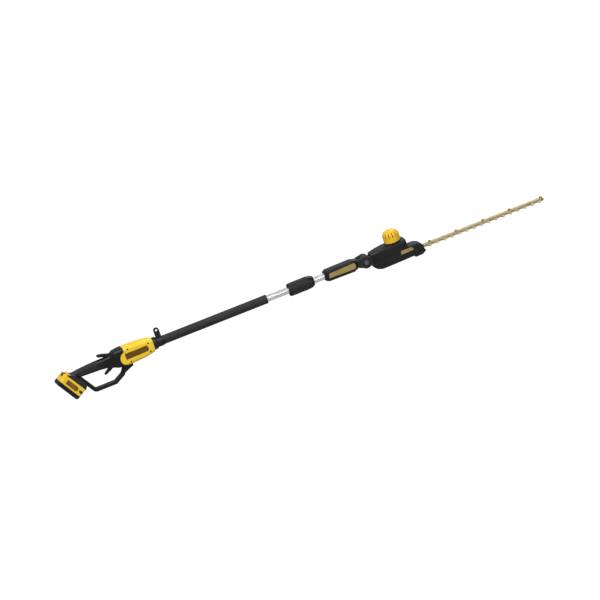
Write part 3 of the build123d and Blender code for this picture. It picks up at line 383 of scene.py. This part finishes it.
# ---------------------------------------------------------------- Fasteners and turned parts
# Screws, pins, bolts, nuts, springs and bearings are zinc plated or ground steel with fine
# turning marks and a faint yellow cast in the plating.
def plated_steel(name, colour, roughness):
    skin = Finish(name, metallic=1.0, roughness=roughness)
    place = skin.place()
    marks = place.noise(2600.0, 2.0)
    tarnish = place.noise(120.0, 5.0, 0.7)
    skin.surface(base_color=tarnish.between(0.35, 0.75).mix(
        (*colour, 1), (colour[0] * 0.72, colour[1] * 0.66, colour[2] * 0.55, 1)))
    skin.surface(roughness=(roughness - 0.05 + tarnish * 0.18).clamped())
    skin.surface(normal=marks.bump(0.2, 0.00004, skin.rounded(0.0004)))
    return skin.material


plated = plated_steel("zinc_plate", (0.60, 0.60, 0.58), 0.3)
dark_steel = plated_steel("blackened_steel", (0.10, 0.10, 0.105), 0.38)
cover(
    plated, "trigger_spring", "lock_off_spring", "pack_rails", "tilt_button_spring",
    "head_bearings", "motor_rotor", "crank_gear", "detent_plate",
)
cover(
    dark_steel, "handle_screws", "neck_screws", "head_screws", "strap_bracket_bolts", "pivot_pin",
    "lever_pins",
)
cover(plated_steel("button_steel", (0.20, 0.20, 0.21), 0.4), "tilt_button")


# ---------------------------------------------------------------- Blades and their bar
# The blades and the bar over them are stamped spring steel with a pale gold anti-rust coat. The
# tooth flanks are ground bright after coating, and sap and dust darken the middle. The paler
# colour on faces tilted part way from level is partly these ground flanks and partly a painted
# highlight along the teeth.
def blade_steel(name, coat, ground_steel_and_highlight):
    skin = Finish(name, metallic=0.75, roughness=0.36)
    place = skin.place()
    drawn = place.stretched((30, 1400, 200))
    lines = drawn.noise(1.0, 4.0, 0.65)
    sap = place.noise(45.0, 6.0, 0.7)
    direction = skin.add("ShaderNodeNewGeometry", None, None, 1).axis("Z").size()
    # Faces tilted part way from level get the paler colour: the real ground bevels of the teeth,
    # and a painted highlight along them as well.
    ground_flank_and_highlight = direction.between(0.97, 0.8) * direction.between(0.1, 0.3)
    flat = sap.between(0.42, 0.78).mix((*coat, 1), (*[c * 0.6 for c in coat], 1))
    skin.surface(base_color=ground_flank_and_highlight.mix(flat, (*ground_steel_and_highlight, 1)))
    skin.surface(roughness=(0.30 + lines * 0.12 + sap * 0.16 - ground_flank_and_highlight * 0.12).clamped())
    skin.surface(metallic=(0.72 + ground_flank_and_highlight * 0.25).clamped())
    skin.surface(normal=lines.bump(0.25, 0.0001, skin.rounded(0.0003)))
    return skin.material


blade_gold = blade_steel("coated_blade", (0.56, 0.46, 0.26), (0.74, 0.68, 0.52))
cover(blade_gold, "upper_blade", "lower_blade", "blade_bar")
cover(plated_steel("gold_passivate", (0.55, 0.44, 0.22), 0.34), "blade_bolts")


# ---------------------------------------------------------------- Name plates
# Blank plates are let into both sides of the body, the neck and the head. They are printed film
# on plastic with no lettering: dark brown on the body, tan on the neck and the head.
def printed_plate(name, colour, band):
    skin = Finish(name, roughness=0.3, specular_ior_level=0.3, coat_weight=0.1, coat_roughness=0.2)
    place = skin.place()
    fleck = place.noise(800.0, 3.0)
    cloud = place.noise(30.0, 3.0)
    share = (cloud * 0.7 + fleck * 0.3).between(0.35, 0.7)
    skin.surface(base_color=share.mix((*colour, 1), (*band, 1)))
    skin.surface(roughness=(0.24 + cloud * 0.16).clamped())
    skin.surface(normal=fleck.bump(0.1, 0.00003, skin.rounded(0.0005)))
    return skin.material


cover(printed_plate("brown_plate", (0.115, 0.048, 0.002), (0.17, 0.075, 0.004)), "body_plates")
tan_plate = printed_plate("tan_plate", (0.30, 0.22, 0.065), (0.40, 0.30, 0.11))
cover(tan_plate, "neck_plates", "head_plates")


# ---------------------------------------------------------------- Electrical parts
# Terminals are stamped brass, the motor winding is lacquered copper, the cells are wrapped in
# teal film, the controller is a green board, and leads are black.
def lacquered(name, colour, metallic, roughness, scale):
    skin = Finish(name, metallic=metallic, roughness=roughness)
    place = skin.place()
    fleck = place.noise(scale, 4.0, 0.7)
    darker = [c * 0.65 for c in colour]
    skin.surface(base_color=fleck.between(0.35, 0.7).mix((*colour, 1), (*darker, 1)))
    skin.surface(roughness=(roughness - 0.06 + fleck * 0.15).clamped())
    skin.surface(normal=fleck.bump(0.3, 0.0001, skin.rounded(0.0004)))
    return skin.material


cover(lacquered("stamped_brass", (0.78, 0.56, 0.22), 1.0, 0.3, 600.0), "terminal_blades")
cover(lacquered("copper_winding", (0.72, 0.33, 0.14), 0.9, 0.35, 1400.0), "motor_stator")
cover(lacquered("cell_wrap", (0.02, 0.22, 0.27), 0.0, 0.3, 90.0), "pack_cells")
cover(lacquered("green_board", (0.02, 0.16, 0.06), 0.0, 0.4, 500.0), "controller_module")
cover(lacquered("lead_cover", (0.02, 0.02, 0.02), 0.0, 0.5, 300.0), "handle_wiring", "upper_wiring")


# ---------------------------------------------------------------- Rims round the name plates
# Each plate on the body and the neck sits inside a raised rim moulded with the housing. The rim
# is chamfered on both sides and follows the slight taper of the wall.
EYE = Vector((0.4775, 0, 0.049))        # the strap eye, from the pole axis at the rear of the pack


def new_piece(name, body, material, points, faces):
    """Mesh piece that rides on a body."""
    data = bpy.data.meshes.new(name)
    data.from_pydata(points, [], faces)
    data.validate()
    data.polygons.foreach_set("use_smooth", [False] * len(data.polygons))
    piece = bpy.data.objects.new(name, data)
    bpy.context.scene.collection.objects.link(piece)
    piece.data.materials.append(material)
    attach(piece, body)
    return piece


def softened(corners, radius, steps=4):
    """Outline with its corners rounded, going round the same way."""
    points = []
    for index, corner in enumerate(corners):
        here = Vector(corner)
        before = Vector(corners[index - 1]) - here
        after = Vector(corners[(index + 1) % len(corners)]) - here
        reach = min(radius, before.length * 0.4, after.length * 0.4)
        start, end = here + before.normalized() * reach, here + after.normalized() * reach
        for step in range(steps + 1):
            share = step / steps
            bend = here * 2 * share * (1 - share)
            points.append(start * (1 - share) ** 2 + bend + end * share ** 2)
        points.append(end * 0.75 + Vector(corners[(index + 1) % len(corners)]) * 0.25)
    return points


def swept(name, body, material, outline, profile, put, fill=False):
    """Strip of a profile along a closed outline; fill closes its inner edge with a panel."""
    count = len(outline)
    points, faces = [], []
    for index, here in enumerate(outline):
        along = outline[(index + 1) % count] - outline[index - 1]
        outward = Vector((along.y, -along.x)).normalized()
        for offset, high in profile:
            spot = here + outward * offset
            points.append(put(spot.x, spot.y, high))
    wide = len(profile)
    for index in range(count):
        here, after = index * wide, (index + 1) % count * wide
        for row in range(wide - 1):
            faces.append((here + row, here + row + 1, after + row + 1, after + row))
    if fill:
        inner = range(wide - 1, count * wide, wide)
        middle = count * wide
        points.append(sum((points[corner] for corner in inner), Vector()) / count)
        faces.extend((inner[i], inner[(i + 1) % count], middle) for i in range(count))
    return new_piece(name, body, material, points, faces)


def wall_of(stations, side):
    """Place on a tapering wall from the distance along, the height and the distance proud of it."""
    def put(x, z, high):
        half = stations[0][1]
        for (x0, half0), (x1, half1) in zip(stations, stations[1:]):
            if x0 <= x:
                half = half0 + (half1 - half0) * min((x - x0) / (x1 - x0), 1)
        return Vector((x / 1000, side * (half + high) / 1000, z / 1000)) - EYE
    return put


RIM = [(1.5, -0.6), (1.1, 0.55), (0.5, 0.8), (0.0, 0.55), (-0.2, -0.6)]
BODY_WALL = [(300, 32.5), (340, 33.5), (395, 33.0), (432, 29.0)]
NECK_WALL = [(1225, 25.0), (1337, 26.0), (1357, 20.5)]
BODY_RIM = [(317.4, -13.6), (416.4, -11.6), (421.7, 0), (415.4, 13.6), (317.4, 13.6)]
NECK_RIM = [(1226.4, -10.6), (1344.4, -12.6), (1350.7, 2), (1345.4, 13.6), (1231.4, 9.6)]
body_rim, neck_rim = softened(BODY_RIM, 4), softened(NECK_RIM, 3)
SIDES = ((-1, "right"), (1, "left"))
for side, word in SIDES:
    on_body, on_neck = wall_of(BODY_WALL, side), wall_of(NECK_WALL, side)
    swept("body_plate_rim_" + word, "handle", yellow, body_rim, RIM, on_body)
    swept("neck_plate_rim_" + word, "front_pole", black, neck_rim, RIM, on_neck)


# ---------------------------------------------------------------- Battery labels and charge gauge
# A blank brown label is stuck in the middle of both sides of the battery. Ahead of it is the
# charge gauge, a dark oval panel with three lamps and a press spot.
LEAN = math.radians(58)
PACK_X, PACK_Z, PACK_SIDE = 87.0, -21.0, 38.0


def on_pack_side(side):
    """Place on the battery's side from the distance along it, the height and how proud it is."""
    def put(u, v, high):
        x = PACK_X + u * math.cos(LEAN) + v * math.sin(LEAN)
        z = PACK_Z - u * math.sin(LEAN) + v * math.cos(LEAN)
        return Vector((x / 1000, side * (PACK_SIDE + high) / 1000, z / 1000)) - EYE
    return put


def oval(u, v, half_long, radius, steps=8):
    """Round-ended outline."""
    points = []
    for end in (1, -1):
        middle = Vector((u + end * half_long, v))
        for step in range(steps + 1):
            turn = math.pi * (step / steps - 0.5) + (0 if end == 1 else math.pi)
            points.append(middle + Vector((math.cos(turn), math.sin(turn))) * radius)
    return points


label_film = printed_plate("battery_label", (0.16, 0.075, 0.012), (0.26, 0.13, 0.02))
lamp = lacquered("lamp_lens", (0.55, 0.10, 0.05), 0.0, 0.18, 400.0)
PANEL = [(0.0, -0.4), (0.0, 0.25), (-0.4, 0.5)]
LENS_EDGE = [(0, 0.3), (-0.1, 0.85)]
PRESS_EDGE = [(0, 0.3), (0, 0.8), (-0.4, 1.0)]
GAUGE_AT, LAMP_PITCH = 43.0, 3.5
label_outline = softened([(-32, -29), (24, -29), (30, -20), (24, -9), (-32, -9)], 4)
gauge_outline = oval(GAUGE_AT, -19, 3.5, 5.2)
press_outline = oval(GAUGE_AT, -21.5, 1.5, 1.1)
for side, word in SIDES:
    put = on_pack_side(side)
    swept("battery_label_" + word, "battery", label_film, label_outline, PANEL, put,
          fill=True)
    swept("gauge_panel_" + word, "battery", black, gauge_outline, PANEL, put,
          fill=True)
    for index in range(3):
        lens = oval(GAUGE_AT + (index - 1) * LAMP_PITCH, -17.5, 0.4, 0.8)
        swept(f"gauge_lamp_{word}_{index}", "battery", lamp, lens, LENS_EDGE, put,
              fill=True)
    swept("gauge_press_" + word, "battery", black, press_outline, PRESS_EDGE, put,
          fill=True)


# ---------------------------------------------------------------- Foam end rings and cap gasket
# The foam grip is held at each end by a moulded ring pressed on the tube, and a rubber gasket
# seals the motor cap to the head.
def lathed(name, body, material, profile, put, segments=96):
    """Ring of a closed profile about an axis."""
    points, faces = [], []
    count = len(profile)
    for step in range(segments):
        turn = 2 * math.pi * step / segments
        points += [put(along, radius, turn) for along, radius in profile]
        here, after = step * count, (step + 1) % segments * count
        for row in range(count):
            above = (row + 1) % count
            faces.append((here + row, here + above, after + above, after + row))
    return new_piece(name, body, material, points, faces)


def about_pole(along, radius, turn):
    return Vector((along, radius * math.cos(turn), radius * math.sin(turn))) / 1000 - EYE


def about_motor(along, radius, turn):
    return Vector((MOTOR_X + radius * math.cos(turn), radius * math.sin(turn), along)) / 1000 - EYE


MOTOR_X = 1531
FOAM_BACK, FOAM_FRONT = 491, 955
END_RING = [(0, 18.6), (0.6, 19.3), (5.4, 19.3), (6.4, 18.6)]
rear_ring = [(FOAM_BACK + along, radius) for along, radius in END_RING]
front_ring = [(FOAM_FRONT - along, radius) for along, radius in END_RING]
lathed("foam_ring_rear", "handle", black, rear_ring, about_pole)
lathed("foam_ring_front", "handle", black, front_ring, about_pole)
GASKET = [(28.2, 34.6), (28.2, 36.4), (29.0, 37.0), (30.4, 36.4), (31.0, 34.6)]
lathed("cap_gasket", "head", black, GASKET, about_motor)
